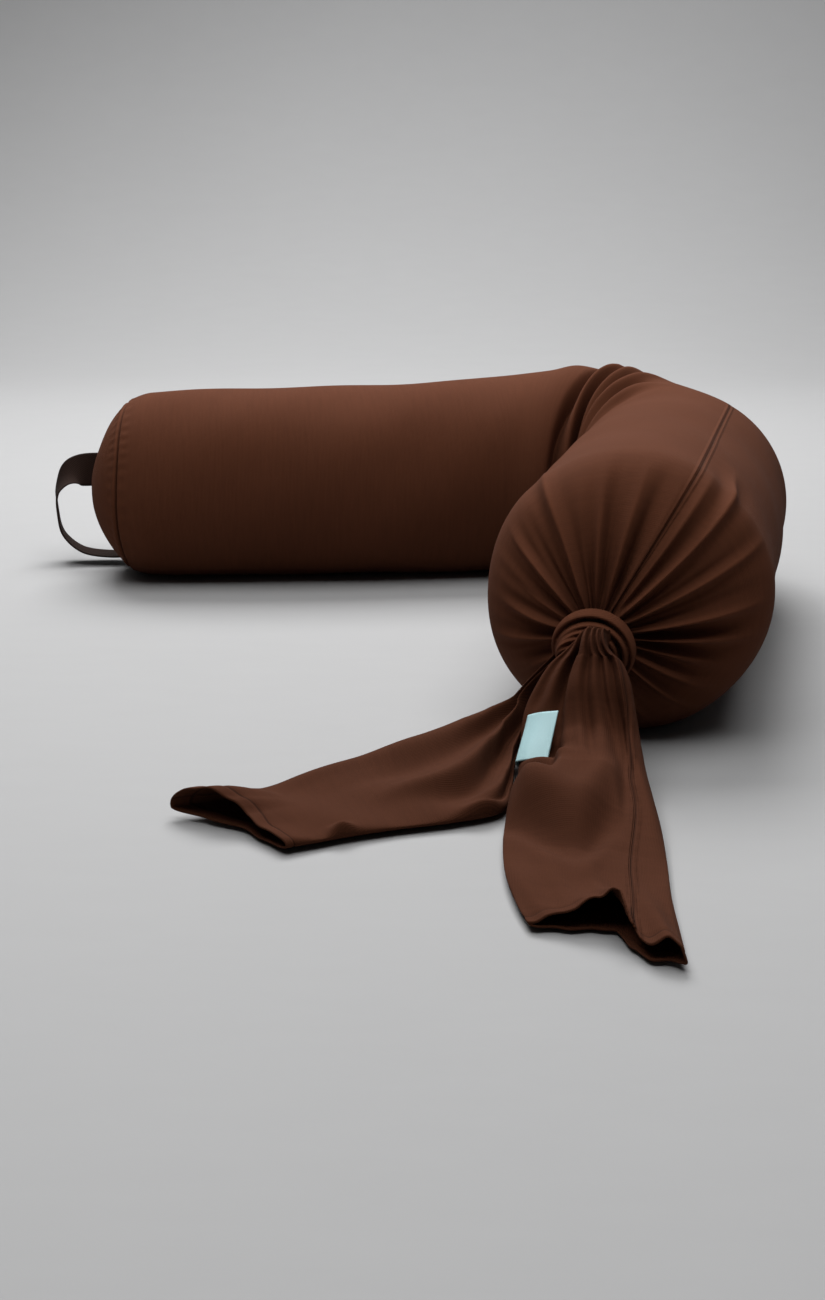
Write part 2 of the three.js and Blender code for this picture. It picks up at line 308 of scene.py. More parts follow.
def webbing_material():
    """Flat woven webbing with slanting ribs and a woven edge."""
    made = Shader("webbing_brown")
    colour = cloth().webbing
    along, around, place = made.cloth_place()
    twill = ((along * 1500.0) + (around * 2600.0)).sin()
    edge = made.mark("seam")
    fuzz = made.noise(place, 900.0, 2.0)
    tone = twill * 0.3 + (fuzz - 0.5) * 0.5 + 0.5
    base = made.blend(tone, shade(colour, 0.65), shade(colour, 1.35))
    base = made.blend(edge * 0.5, base, shade(colour, 0.55))
    normal = made.bump(twill * (1 - edge) + fuzz * 0.4, 0.0003, 0.8)
    return made.finish(base, 0.9, normal, Specular_IOR_Level=0.1)


def label_material():
    """Satin-woven tape: very fine ribs and folded, sealed edges."""
    made = Shader("label_aqua")
    colour = cloth().label
    along, around, place = made.cloth_place()
    ribs = (along * (TAU / 0.0006)).sin()
    fuzz = made.noise(place, 700.0, 2.0)
    base = made.blend(
        ribs * 0.2 + (fuzz - 0.5) * 0.4 + 0.5, shade(colour, 0.9), shade(colour, 1.1)
    )
    base = made.blend(made.mark("seam") * 0.35, base, shade(colour, 0.6))
    normal = made.bump(ribs + fuzz, 0.0001, 0.5)
    return made.finish(base, 0.55 + (fuzz - 0.5) * 0.1, normal, Sheen_Weight=0.1)


def liner_material():
    """Plain woven cotton."""
    made = Shader("liner_cotton")
    along, around, place = made.cloth_place()
    weave = (along * (TAU / 0.0008)).sin() * (around * (TAU / 0.0008)).sin()
    tone = weave * 0.3 + made.noise(place, 60.0) * 0.6
    base = made.blend(tone, (0.72, 0.70, 0.65, 1), (0.86, 0.84, 0.80, 1))
    return made.finish(base, 0.9, made.bump(weave, 0.0002, 0.5))


def bead_material():
    """Loose white foam beads."""
    made = Shader("foam_beads")
    place = made.node("ShaderNodeTexCoord")[3]
    cells = made.node("ShaderNodeTexVoronoi", None, Vector=place, Scale=700.0)[0]
    # Painted shade: the gaps between the beads are painted grey.
    base = made.blend(cells, (0.93, 0.93, 0.92, 1), (0.70, 0.70, 0.69, 1))
    return made.finish(base, 0.6, made.bump(1 - cells, 0.0006, 0.8))


def floor_material():
    """Matt painted studio floor, faintly scuffed."""
    made = Shader("studio_floor")
    place = made.node("ShaderNodeTexCoord")[3]
    cloud = made.noise(place, 1.3, 4.0)
    scuff = made.noise(place, 14.0, 6.0, (1, 2.5, 1))
    tone = (cloud - 0.5) * 0.5 + (scuff - 0.5) * 0.35 + 0.5
    base = made.blend(tone, (0.300, 0.300, 0.303, 1), (0.335, 0.335, 0.338, 1))
    return made.finish(base, 0.75, made.bump(scuff, 0.0006, 0.25))


# ---- the line through the cushion ---------------------------------------------------------


def travel(place, curvature, distance):
    """Where a distance along an arc leads to. The place is x, y and heading."""
    x, y, heading = place
    distance = np.asarray(distance, float)
    if curvature == 0:
        return x + distance * np.cos(heading), y + distance * np.sin(heading), heading
    turned = heading + curvature * distance
    return (
        x + (np.sin(turned) - np.sin(heading)) / curvature,
        y + (np.cos(heading) - np.cos(turned)) / curvature,
        turned,
    )


class Spine:
    """The line through the middle of the cushion, by the distance from its fold's middle."""

    def __init__(self):
        s = shape()
        self.radius = s.fold_radius
        self.half = s.fold_radius * s.fold_turn / 2
        self.closed_tip = -(self.half + s.closed_arm)
        self.tied_tip = self.half + s.tied_arm
        self.closed_curve = s.closed_curve
        self.middle = (0.0, 0.0, s.middle_heading)
        self.girths = (s.closed_girth, s.fold_girth, s.tied_girth)

    def at(self, along):
        """x, y and heading for an array of distances."""
        along = np.asarray(along, float)
        within = np.clip(along, -self.half, self.half)
        arc = travel(self.middle, -1 / self.radius, within)
        start = [float(v) for v in travel(self.middle, -1 / self.radius, -self.half)]
        end = [float(v) for v in travel(self.middle, -1 / self.radius, self.half)]
        before = travel(start, self.closed_curve, along + self.half)
        after = travel(end, 0, along - self.half)
        found = []
        for a, b, c in zip(before, arc, after):
            found.append(np.where(along < -self.half, a, np.where(along > self.half, c, b)))
        return found

    def girth(self, along):
        closed, fold, tied = self.girths
        return np.interp(along, [self.closed_tip, 0, self.tied_tip], [closed, fold, tied])

    def by_knot(self, ahead, left, height):
        """A point near the knot: ahead of the tied tip, to its left, and up."""
        x, y, heading = (float(v) for v in self.at(self.tied_tip))
        c, s = math.cos(heading), math.sin(heading)
        return np.array([x + c * ahead - s * left, y + s * ahead + c * left, height])

    def knot_axes(self):
        """Ahead, left and up at the knot."""
        heading = float(self.at(self.tied_tip)[2])
        c, s = math.cos(heading), math.sin(heading)
        return np.array([c, s, 0.0]), np.array([-s, c, 0.0]), UP


AXIS_SHARE = 0.95  # height of the middle line over the floor, as a share of the radius
CLOSED_DOME = 0.072  # how far each end bulges out
TIED_DOME = 0.085
SEAM_ANGLE = math.radians(65)  # place of the round seam on the closed end's bulge
LONG_SEAM = math.radians(62)
NECK_RADIUS = 0.011
NECK_STEPS = (0.004, 0.009, 0.015, 0.021)
KNOT_SIDE = -0.016
KNOT_HEIGHT = 0.095


def smooth(value, low, high):
    t = np.clip((value - low) / (high - low), 0, 1)
    return t * t * (3 - 2 * t)


def bell(value, width):
    return np.exp(-((value / width) ** 2))


def settle(height, floor, softness):
    """Heights held above a floor, rounded off where they come near it."""
    over = height - floor
    return floor + 0.5 * (over + np.sqrt(over * over + softness**2))


def turn_between(a, b):
    """The angle from b to a, with its sign, within half a turn."""
    return (a - b + math.pi) % TAU - math.pi


# ---- meshes from grids --------------------------------------------------------------------


def grid_object(name, points, cloth_place, loop=True, caps=(False, False), marks=None):
    """An object from rows of points, joined around if loop, with its ends closed as asked."""
    rows, columns = points.shape[:2]
    verts = points.reshape(-1, 3)
    places = np.concatenate(
        [cloth_place.reshape(-1, 2), np.zeros((rows * columns, 1))], axis=1
    )
    marks = {key: value.reshape(-1) for key, value in (marks or {}).items()}
    wide = columns if loop else columns - 1
    r, c = np.meshgrid(np.arange(rows - 1), np.arange(wide), indexing="ij")
    d = (c + 1) % columns
    quads = np.stack(
        [r * columns + c, r * columns + d, (r + 1) * columns + d, (r + 1) * columns + c], -1
    ).reshape(-1, 4)
    faces = quads.tolist()
    for end, row in ((0, 0), (1, rows - 1)):
        if not caps[end]:
            continue
        hub = len(verts)
        ring = row * columns + np.arange(columns)
        verts = np.vstack([verts, verts[ring].mean(0)])
        places = np.vstack([places, places[ring].mean(0)])
        marks = {k: np.append(v, v[ring].mean()) for k, v in marks.items()}
        for i in range(columns):
            pair = [int(ring[i]), int(ring[(i + 1) % columns])]
            faces.append([hub, *(pair[::-1] if end == 0 else pair)])
    mesh = bpy.data.meshes.new(name)
    mesh.from_pydata(verts.tolist(), [], faces)
    for key, value in {"cloth": places, **marks}.items():
        note(mesh, key, value)
    mesh.shade_smooth()
    mesh.update()
    made = bpy.data.objects.new(name, mesh)
    bpy.context.scene.collection.objects.link(made)
    face_outwards(made)
    return made


def note(mesh, name, values):
    """Keeps a vector or a number for each vertex under a name."""
    kind, field = ("FLOAT_VECTOR", "vector") if values.ndim == 2 else ("FLOAT", "value")
    kept = mesh.attributes.new(name, kind, "POINT").data
    kept.foreach_set(field, values.astype(np.float32).ravel())


def vertices_of(mesh):
    co = np.empty(len(mesh.vertices) * 3)
    mesh.vertices.foreach_get("co", co)
    return co.reshape(-1, 3)


def face_outwards(made):
    """Turns the faces round if the closed mesh is inside out."""
    mesh = made.data
    mesh.calc_loop_triangles()
    index = np.empty(len(mesh.loop_triangles) * 3, int)
    mesh.loop_triangles.foreach_get("vertices", index)
    co = vertices_of(mesh)
    co = co - co.mean(0)
    a, b, c = (co[index.reshape(-1, 3)[:, k]] for k in range(3))
    if np.einsum("ij,ij->", a, np.cross(b, c)) < 0:
        mesh.flip_normals()


def running_length(points):
    """The distance along a row of points, at each of them."""
    steps = np.linalg.norm(np.diff(points, axis=0), axis=1)
    return np.concatenate([[0], np.cumsum(steps)])


def grid_normals(points):
    """Outward normals of a grid that closes around."""
    down = np.gradient(points, axis=0)
    across = np.roll(points, -1, axis=1) - np.roll(points, 1, axis=1)
    normal = np.cross(across, down)
    normal /= np.linalg.norm(normal, axis=2, keepdims=True) + 1e-12
    centre = points.mean(axis=1, keepdims=True)
    flip = np.sign(((points - centre) * normal).sum(2).mean(1))
    flip[flip == 0] = 1
    return normal * flip[:, None, None]


def apply_modifiers(made):
    """Makes the modifiers' result the mesh."""
    bpy.context.view_layer.update()
    graph = bpy.context.evaluated_depsgraph_get()
    mesh = bpy.data.meshes.new_from_object(made.evaluated_get(graph))
    made.modifiers.clear()
    made.data = mesh
    mesh.shade_smooth()
    return made


def dress(made, material):
    made.data.materials.clear()
    made.data.materials.append(material)
    return made


# ---- the cushion's surface ----------------------------------------------------------------


def cushion_stations(step):
    """Rows from the closed tip to the neck: along, radius, share of the way to the knot."""
    spine = Spine()
    closed_base = spine.closed_tip + CLOSED_DOME
    tied_base = spine.tied_tip - TIED_DOME
    rows = []
    for angle in np.radians(np.concatenate([[1.0], np.arange(4, 90, 200 * step)])):
        radius = float(spine.girth(closed_base)) * math.sin(angle)
        rows.append((closed_base - CLOSED_DOME * math.cos(angle), radius, 0.0))
    body = [closed_base]
    while body[-1] < tied_base:
        u = body[-1]
        fine = 0.45 if -0.20 < u < 0.17 else (0.6 if u > 0.40 else 1.0)
        body.append(u + step * 2 * fine)
    rows += [(u, float(spine.girth(u)), 0.0) for u in body[:-1]]
    girth = float(spine.girth(tied_base))
    least = math.asin(NECK_RADIUS / girth)
    angles = np.linspace(math.pi / 2, least, int(0.13 / (step * 0.75)))
    for angle in angles:
        radius = girth * math.sin(angle) ** 0.95
        share = 1 - radius / girth
        rows.append((tied_base + TIED_DOME * math.cos(angle) ** 0.95, radius, share))
    last = rows[-1]
    rows += [(last[0] + ahead, last[1], last[2]) for ahead in NECK_STEPS]
    return spine, np.array(rows), tied_base, closed_base


PLEATS = [
    # at degrees, reach, depth share, crest width, sideways drift
    (121, 0.165, 0.95, 0.0028, 0.10),
    (146, 0.115, 0.80, 0.0026, 0.05),
    (164, 0.070, 0.55, 0.0024, 0.0),
    (180, 0.085, 0.90, 0.0026, -0.04),
    (195, 0.105, 0.75, 0.0024, 0.02),
    (214, 0.085, 0.80, 0.0030, 0.0),
    (232, 0.100, 0.70, 0.0030, 0.0),
    (251, 0.090, 0.85, 0.0030, 0.0),
    (268, 0.100, 0.70, 0.0028, 0.0),
    (286, 0.085, 0.85, 0.0030, 0.0),
    (306, 0.105, 0.85, 0.0028, 0.0),
    (320, 0.100, 0.95, 0.0030, 0.0),
    (336, 0.090, 0.80, 0.0032, 0.0),
    (349, 0.110, 1.10, 0.0030, 0.0),
    (3, 0.120, 1.15, 0.0030, 0.0),
    (23, 0.145, 0.70, 0.0020, 0.03),
    (42, 0.230, 0.85, 0.0022, 0.10),
    (54, 0.150, 0.60, 0.0022, 0.04),
    (81, 0.120, 0.75, 0.0030, 0.0),
    (98, 0.105, 0.60, 0.0030, 0.0),
]

VALLEYS = [
    # at degrees, reach, depth share, width
    (93, 0.150, 1.9, 0.0050),
    (73, 0.140, 2.0, 0.0060),
    (108, 0.085, 0.8, 0.0060),
    (136, 0.120, 1.2, 0.0065),
    (156, 0.085, 1.0, 0.0055),
    (187, 0.100, 1.1, 0.0060),
    (205, 0.090, 1.0, 0.0055),
    (355, 0.125, 2.0, 0.0055),
    (342, 0.110, 2.2, 0.0060),
    (329, 0.100, 1.8, 0.0055),
    (313, 0.110, 1.4, 0.0060),
    (298, 0.095, 1.2, 0.0060),
    (275, 0.090, 1.2, 0.0060),
    (240, 0.085, 1.2, 0.0060),
    (15, 0.120, 1.1, 0.0065),
    (32, 0.140, 0.9, 0.0085),
    (50, 0.120, 0.9, 0.0050),
]


def pleat_height(reach, angle, radius):
    """How far the gathers lift the cloth, and how much each place is a crest."""
    lift = np.zeros_like(angle)
    crest = np.zeros_like(angle)
    depth = cloth().pleat_depth
    for at, length, share, width, drift in PLEATS:
        middle = math.radians(at) + drift * smooth(reach, 0.02, length)
        off = turn_between(angle, middle) * radius
        wide = width * (0.42 + reach / 0.085)
        ridge = np.exp(-(np.sqrt(off**2 + (0.3 * wide) ** 2) - 0.3 * wide) / wide)
        hollow = bell(off - 2.1 * wide, 1.7 * wide) + bell(off + 2.1 * wide, 1.7 * wide)
        level = smooth(reach, -0.004, 0.030) * (1 - smooth(reach, 0.45 * length, 1.15 * length))
        lift += depth * share * level * (ridge - 0.42 * hollow)
        crest = np.maximum(crest, ridge * np.minimum(1, level * 1.4))
    for at, length, share, width in VALLEYS:
        off = turn_between(angle, math.radians(at)) * radius
        wide = width * (0.35 + reach / 0.10)
        level = smooth(reach, -0.004, 0.030) * (1 - smooth(reach, 0.30 * length, length))
        lift -= depth * share * level * bell(off, wide) * 0.62
    tight = 1 - smooth(reach, 0.008, 0.075)
    lift += 0.0016 * tight * np.sin(26 * angle + 3.0 * np.sin(3 * angle + 1.0))
    fine = smooth(reach, 0.0, 0.020) * (1 - smooth(reach, 0.045, 0.130))
    lift += 0.0007 * fine * np.sin(47 * angle + 2.0 * np.sin(5 * angle))
    return lift, crest


CREASES = [
    # at, width, depth, how many degrees round it starts, lean towards the top
    (-0.034, 0.0055, 0.021, 62, 0.004),
    (-0.002, 0.0070, 0.015, 74, -0.006),
    (0.020, 0.0050, 0.008, 70, 0.004),
    (0.048, 0.0080, 0.010, 84, 0.014),
    (0.082, 0.0100, 0.005, 96, 0.022),
]

BUNCHES = [
    # at, width, height, how many degrees round it starts, lean towards the top
    (-0.060, 0.022, 0.0055, 66, 0.0),
    (-0.018, 0.0080, 0.0110, 62, 0.002),
    (0.010, 0.0070, 0.0095, 66, -0.002),
    (0.034, 0.0080, 0.0080, 70, 0.006),
    (0.066, 0.0110, 0.0055, 84, 0.018),
]


def fold_height(along, angle, out_share, radius):
    """The creases and bunches on the inner side of the fold."""
    side = np.abs(turn_between(angle, math.pi))
    spread = np.clip(1 + out_share * radius / FOLD_RADIUS, 0.22, 1.6)

    def gather(at, width, depth, start, lean):
        reach = 1 - smooth(side, math.radians(180 - start - 26), math.radians(180 - start))
        off = (along - at - lean * (side / 1.6) ** 2) * spread
        return depth * reach * bell(off, width)

    lift = np.zeros_like(angle)
    for at, width, *rest in CREASES:
        lift -= gather(at, width * (0.75 + 0.25 * spread), *rest)
    for bunch in BUNCHES:
        lift += gather(*bunch)
    return lift


def cushion_grid(step, columns, inset=0.0):
    """Points, cloth places and marks of the cushion's skin, pulled in by inset."""
    spine, rows, tied_base, closed_base = cushion_stations(step)
    along, radius, share = rows[:, 0], rows[:, 1], rows[:, 2]
    x, y, heading = spine.at(along)
    base_height = spine.girth(np.clip(along, closed_base, tied_base)) * AXIS_SHARE
    height = base_height + (KNOT_HEIGHT - base_height) * share
    side = KNOT_SIDE * share
    angle = -math.pi / 2 + TAU * np.arange(columns) / columns
    u, theta = np.meshgrid(along, angle, indexing="ij")
    r = np.repeat(radius[:, None], columns, 1)
    out, rise = np.cos(theta), np.sin(theta)
    # The inner side runs on straight to a sharp corner at the fold.
    beta = spine.half / spine.radius - np.abs(u) / spine.radius
    inner_radius = spine.radius - spine.girth(u)
    corner = np.where(beta > 0, inner_radius * (1 / np.cos(np.clip(beta, 0, 1.2)) - 1), 0)
    pinch = np.where(out < 0, 1 - corner / spine.girth(u), 1.0)
    swell = 1 + 0.05 * bell(u + 0.01, 0.09) * np.clip(rise, 0, 1) * (out < 0.5)
    left = np.stack([-np.sin(heading), np.cos(heading)], -1)
    across = side[:, None] + r * out * pinch
    points = np.stack(
        [
            x[:, None] + left[:, 0:1] * across,
            y[:, None] + left[:, 1:2] * across,
            height[:, None] + r * rise * swell,
        ],
        -1,
    )
    run = running_length(np.stack([along, radius], -1))
    from_neck = np.repeat((run[-1] - run - NECK_STEPS[-1])[:, None], columns, 1)
    lift, crest = pleat_height(from_neck, theta, np.maximum(r, 0.012))
    lift = lift + fold_height(u, theta, out * pinch, r)
    lift += lumps(u, theta)
    # The round seam of the closed end, with small puckers beside it.
    seam_u = closed_base - CLOSED_DOME * math.cos(SEAM_ANGLE)
    off = (run - np.interp(seam_u, along, run))[:, None] + 0 * theta
    pucker = np.sin(46 * theta + 2 * np.sin(5 * theta)) * bell(np.abs(off) - 0.008, 0.006)
    lift += 0.0003 * pucker + 0.0010 * bell(np.abs(off) - 0.0040, 0.0030)
    lift -= 0.0026 * bell(off, 0.0018)
    keep = smooth(r, 0.004, 0.02)
    points = points + grid_normals(points) * ((lift * keep) - inset)[..., None]
    points[..., 2] = settle(points[..., 2], 0.0006 + inset, 0.0035)
    places = np.stack([run[:, None] + 0 * theta, (theta - LONG_SEAM) * spine.girth(u)], -1)
    # The seam mark is where the jersey paints the shade of the seam's groove.
    marks = {"crest": crest, "seam": bell(off, 0.0018)}
    return points, places, marks


def lumps(u, theta):
    """The slow unevenness of a bead filling, and the dip and rise along the closed arm."""
    slow = 0.0011 * np.sin(9 * u + 2 * theta + 0.7) + 0.0009 * np.sin(23 * u - 3 * theta)
    slow += 0.0006 * np.sin(41 * u + 5 * theta + 2.0)
    top = np.clip(np.sin(theta), 0, 1) ** 2
    dip = -0.0035 * bell(u + 0.27, 0.08) + 0.0045 * bell(u + 0.09, 0.05)
    dip += 0.0030 * bell(u + 0.47, 0.09)
    return slow + top * dip


# ---- pieces -------------------------------------------------------------------------------


def bend_with_fold(made):
    """Bakes the piece's placing into its mesh."""
    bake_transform(made)


class PILLOW_OT_cover(bpy.types.Operator):
    """Adds the jersey cover, from its round end panel to the gathered neck"""

    bl_idname = "pillow.cover"
    bl_label = "Cover"

    def execute(self, context):
        step, columns = ((0.0022, 416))
        points, places, marks = cushion_grid(step, columns)
        made = grid_object("cover", points, places, caps=(True, True), marks=marks)
        dress(made, jersey_material("jersey_cover", 0.0))
        bend_with_fold(made)
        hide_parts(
            "cover_end_panel",
            "cover_closed_arm",
            "cover_fold",
            "cover_tied_arm",
            "cover_gathered_end",
        )
        return {"FINISHED"}


class PILLOW_OT_filling(bpy.types.Operator):
    """Adds the cotton liner and the bead filling inside the cover"""

    bl_idname = "pillow.filling"
    bl_label = "Liner and filling"

    def execute(self, context):
        for name, inset, material, slot, nodes in (
            (
                "liner",
                0.007,
                liner_material(),
                "liner_cloth",
                ("liner_closed_arm", "liner_fold", "liner_tied_arm"),
            ),
            (
                "filling",
                0.010,
                bead_material(),
                "bead_fill",
                ("bead_fill_closed_arm", "bead_fill_fold", "bead_fill_tied_arm"),
            ),
        ):
            points, places, marks = cushion_grid(0.006, 120, inset)
            # It stops short of the gathers and the neck, which only the cover goes into.
            kept = slice(2, -30)
            marks = {key: value[kept] for key, value in marks.items()}
            made = grid_object(name, points[kept], places[kept], caps=(True, True), marks=marks)
            dress(made, material)
            bend_with_fold(made)
            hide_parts(*nodes)
        return {"FINISHED"}


def swept(path, across, up, outline):
    """Rows of points: an outline of (across, up) pairs for each point of the path."""
    return (
        path[:, None, :]
        + across[:, None, :] * outline[..., 0:1]
        + up[:, None, :] * outline[..., 1:2]
    )


def way_along(path):
    way = np.gradient(path, axis=0)
    return way / np.linalg.norm(way, axis=1, keepdims=True)


def curve_at(points, shares):
    """Places on a smooth curve through points. A share of 1 is the last point."""
    points = np.asarray(points, float)
    ghost = np.vstack([2 * points[0] - points[1], points, 2 * points[-1] - points[-2]])
    at = np.asarray(shares, float) * (len(points) - 1)
    first = np.clip(at.astype(int), 0, len(points) - 2)
    t = (at - first)[:, None]
    p = [ghost[first + k] for k in range(4)]
    knots = [np.zeros((len(at), 1))]
    for a, b in zip(p, p[1:]):
        gap = np.linalg.norm(b - a, axis=1, keepdims=True) ** 0.5
        knots.append(knots[-1] + np.maximum(gap, 1e-6))
    t = knots[1] + (knots[2] - knots[1]) * t
    rows = p
    for level in (1, 2):
        rows = [
            (knots[j + level] - t) / (knots[j + level] - knots[j]) * rows[j]
            + (t - knots[j]) / (knots[j + level] - knots[j]) * rows[j + 1]
            for j in range(4 - level)
        ]
    share = (t - knots[1]) / (knots[2] - knots[1])
    return rows[0] * (1 - share) + rows[1] * share


def curve_through(points, count):
    """A smooth curve through points, evenly stepped, and the distance along it."""
    dense = curve_at(points, np.linspace(0, 1, 40 * len(points)))
    run = running_length(dense)
    at = np.linspace(0, run[-1], count)
    return np.stack([np.interp(at, run, dense[:, k]) for k in range(3)], -1), at


def through(value, pairs):
    """A smooth run through (place, height) pairs."""
    places, heights = zip(*pairs)
    nth = np.clip(np.searchsorted(places, value) - 1, 0, len(places) - 2)
    low, high = np.take(places, nth), np.take(places, nth + 1)
    share = smooth(value, low, high)
    return np.take(heights, nth) * (1 - share) + np.take(heights, nth + 1) * share


WRAPS = [
    # middle left and up, half width, half height, ahead, thickness, start and end degrees
    (0.0000, -0.0130, 0.0318, 0.0305, 0.0150, 0.0062, 196, -46),
    (-0.0012, -0.0145, 0.0268, 0.0254, 0.0205, 0.0056, 192, -40),
    (-0.0045, -0.0158, 0.0236, 0.0208, 0.0245, 0.0050, 188, -24),
    (-0.0080, -0.0172, 0.0205, 0.0165, 0.0278, 0.0046, 184, -6),
    (-0.0102, -0.0186, 0.0168, 0.0123, 0.0302, 0.0042, 178, 4),
    (-0.0112, -0.0198, 0.0130, 0.0085, 0.0320, 0.0036, 172, 12),
]
COLLAR = (0.0, -0.012, 0.0225, 0.0200, 0.0080, 0.0095, 0, 360)


def wrap_strand(number, middle, axes, wrap):
    """One rounded band of cloth round the knot."""
    ahead, left, up = axes
    side, rise, wide, tall, depth, thick, start, end = wrap
    t = np.linspace(0, 1, 96)
    angle = np.radians(start + (end - start) * t)
    sway = 1 + 0.025 * np.sin(7 * t + 1.7 * number)
    out = left * np.cos(angle)[:, None] + up * np.sin(angle)[:, None]
    path = (
        middle
        + left * (side + wide * sway * np.cos(angle))[:, None]
        + up * (rise + tall * sway * np.sin(angle))[:, None]
        + ahead * (depth - 0.005 * smooth(t, 0.3, 0) - 0.007 * smooth(t, 0.75, 1.0))[:, None]
    )
    phi = TAU * np.arange(24) / 24
    size = thick * (0.62 + 0.38 * smooth(t, 0, 0.35) - 0.22 * smooth(t, 0.7, 1))[:, None]
    crease = 1 + 0.06 * np.sin(3 * phi + 5 * t[:, None] + number)
    outline = np.stack(
        [size * crease * 0.50 * np.cos(phi), size * crease * 1.60 * np.sin(phi)], -1
    )
    points = swept(path, out, np.repeat(ahead[None, :], len(t), 0), outline)
    places = np.stack(np.broadcast_arrays(t[:, None] * 0.1, phi * size), -1)
    return grid_object(f"wrap_{number}", points, places, caps=(True, True))


class PILLOW_OT_knot(bpy.types.Operator):
    """Adds the wraps of the overhand knot"""

    bl_idname = "pillow.knot"
    bl_label = "Knot"

    def execute(self, context):
        spine = Spine()
        axes = spine.knot_axes()
        ahead, left, up = axes
        middle = spine.by_knot(0, KNOT_SIDE, KNOT_HEIGHT + 0.006)
        parts = [wrap_strand(i, middle, axes, wrap) for i, wrap in enumerate(WRAPS)]
        parts.append(wrap_strand(7, middle, axes, COLLAR))
        core = np.radians(np.linspace(4, 176, 24))
        phi = TAU * np.arange(32) / 32
        points = (
            middle
            - up * 0.014
            + ahead * (0.011 - 0.016 * np.cos(core))[:, None, None]
            + left * (0.026 * np.sin(core)[:, None] * np.cos(phi))[..., None]
            + up * (0.024 * np.sin(core)[:, None] * np.sin(phi))[..., None]
        )
        flat = np.zeros((*points.shape[:2], 2))
        parts.append(grid_object("core", points, flat, caps=(True, True)))
        made = fuse("knot_wraps", parts, 0.0008, 2)
        mark_places(made, middle, left, up)
        dress(made, jersey_material("jersey_knot"))
        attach(made, "tied_arm")
        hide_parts("knot_turn")
        return {"FINISHED"}


def fuse(name, parts, voxel, smoothing):
    """Joins overlapping closed meshes into one skin."""
    mesh = bpy.data.meshes.new(name)
    verts, faces = [], []
    for part in parts:
        start = len(verts)
        verts += [tuple(v.co) for v in part.data.vertices]
        faces += [[start + i for i in f.vertices] for f in part.data.polygons]
        bpy.data.objects.remove(part)
    mesh.from_pydata(verts, [], faces)
    made = bpy.data.objects.new(name, mesh)
    bpy.context.scene.collection.objects.link(made)
    remesh = made.modifiers.new("remesh", "REMESH")
    remesh.mode = "VOXEL"
    remesh.voxel_size = voxel
    relax = made.modifiers.new("relax", "SMOOTH")
    relax.iterations = smoothing
    relax.factor = 0.6
    return apply_modifiers(made)


def mark_places(made, centre, first, second):
    """Cloth places for a mesh with no grid, flat across two directions."""
    off = vertices_of(made.data) - centre
    note(made.data, "cloth", np.stack([off @ first, off @ second, 0 * off[:, 0]], -1))


def tail_grid(edges, thick, skin, cut, seam, columns=168, rows=200):
    """A flattened cloth tube between two edges.

    skin(share, place, top) lifts it; cut(place) gives the share where it ends; seam(share)
    gives the place of its lengthwise seam. Place goes from -1 to 1 across the tube.
    """
    here = Spine().by_knot
    right, left = (
        curve_at([here(*(v / 1000 for v in pair[k])) for pair in edges], np.linspace(0, 1, 900))
        for k in (0, 1)
    )
    middle, half = (left + right) / 2, (left - right) / 2
    rise = np.cross(way_along(middle), half)
    rise /= np.linalg.norm(rise, axis=1, keepdims=True)
    table = np.linspace(0, 1, 900)
    run = running_length(middle)
    even = np.interp(np.linspace(0, run[-1], rows), run, table)
    phi = -math.pi / 2 + TAU * np.arange(columns) / columns
    s, p = np.meshgrid(even, phi, indexing="ij")
    place, top = np.cos(p), np.sin(p)
    # The rows are drawn back so that the last one follows the cut.
    s = s * (1 - (1 - cut(place)) * smooth(s, 0.55, 1.0))
    tall = np.interp(s, *zip(*thick))
    lift = 0.5 * tall * np.sign(top) * np.abs(top) ** 0.8 + skin(s, place, top)
    found = np.zeros((*s.shape, 3))
    for k in range(3):
        found[..., k] = (
            np.interp(s, table, middle[:, k])
            + np.interp(s, table, half[:, k]) * place
            + np.interp(s, table, rise[:, k]) * lift
        )
    found[..., 2] = settle(found[..., 2], np.where(top > 0, 0.0042, 0.0016), 0.0025)
    wide = np.interp(s, table, np.linalg.norm(half, axis=1))
    off = (place - seam(s)) * wide + np.where(top > 0, 0.0, 0.2)
    return found, np.stack([np.interp(s, table, run), off], -1), s


def cloth_tube(name, points, places, thickness, material):
    """An open tube of cloth with a real thickness and turned hem at its end."""
    hem = places[-1, :, 0][None, :] - places[..., 0]
    # The hem's stitch line is marked for the jersey's painted shade in its groove.
    marks = {"seam": bell(hem - 0.011, 0.0012), "crest": 0 * hem}
    normal = grid_normals(points)
    points = points - normal * (0.0007 * bell(hem - 0.011, 0.0016))[..., None]
    made = grid_object(name, points, places, marks=marks)
    shell = made.modifiers.new("thickness", "SOLIDIFY")
    shell.thickness = thickness
    shell.offset = -1
    apply_modifiers(made)
    return dress(made, material)


FRONT_EDGES = [
    # the edge by the label, then the other: ahead, left and up from the knot, in millimetres
    ((27, -22, 100), (27, 0, 101)),
    ((38, -31, 96), (38, -2, 98)),
    ((44, -45, 84), (45, 11, 87)),
    ((53, -56, 66), (55, 19, 75)),
    ((64, -63, 47), (72, 26, 54)),
    ((88, -62, 23), (92, 32, 38)),
    ((118, -58, 8), (125, 40, 26)),
    ((155, -56, 6), (160, 49, 17)),
    ((200, -53, 6), (208, 60, 10)),
    ((240, -48, 6), (262, 69, 7)),
    ((298, -36, 6), (318, 77, 6)),
    ((344, -21, 6), (370, 87, 6)),
    ((382, -5, 6), (418, 96, 6)),
]
# how thick the tube is at shares of its length
FRONT_THICK = [
    (0, 0.016), (0.2, 0.020), (0.4, 0.024), (0.58, 0.036), (0.66, 0.029), (0.75, 0.010), (1, 0.009)
]


